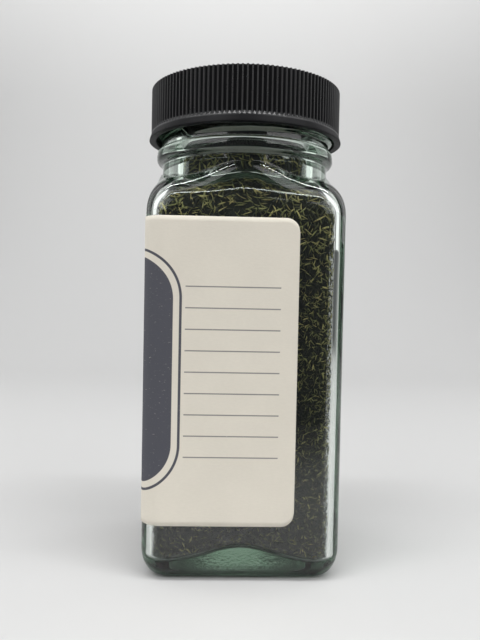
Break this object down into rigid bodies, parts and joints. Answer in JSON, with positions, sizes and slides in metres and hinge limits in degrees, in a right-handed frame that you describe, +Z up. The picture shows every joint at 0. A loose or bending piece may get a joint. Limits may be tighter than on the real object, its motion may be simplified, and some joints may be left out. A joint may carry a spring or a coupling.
{
  "type": "spice jar of dried dill",
  "caption": "Square clear glass spice jar filled with dried dill weed, with a wrap-round paper label and a ribbed black screw cap that unscrews.",
  "frame": {"origin": "centre of the base, on the surface that the jar stands on", "axes": "+Z up along the neck and the cap; the label's middle lies on the -X face, its two ends on the -Y and +Y faces"},
  "size_m": [0.0466, 0.0466, 0.1115],
  "materials": {
    "clear_glass": "clear with a faint green tint at the edges",
    "label_paper": "uncoated cream paper, finely wrinkled",
    "dried_dill": "dry crumbled leaf, matt dark olive green with paler stem pieces",
    "black_plastic": "moulded black, satin, fine ribs",
    "liner_foam": "white foam sheet"
  },
  "bodies": {
    "jar": {"glass_jar": "clear_glass", "paper_label": "label_paper", "dill_weed": "dried_dill"},
    "liner": {"cap_liner": "liner_foam"},
    "cap": {"screw_cap": "black_plastic"}
  },
  "joints": [
    {"name": "cap_rise", "type": "slide", "parent": "jar", "child": "liner", "axis": [0, 0, 1], "range_m": [0, 0.0032]},
    {"name": "cap_turn", "type": "hinge", "parent": "liner", "child": "cap", "pos_m": [0, 0, 0.1], "axis": [0, 0, 1], "range_deg": [0, 360]}
  ],
  "couplings": [
    {"joint": "cap_rise", "follows": "cap_turn", "m_per_rad": 0.00050532}
  ]
}
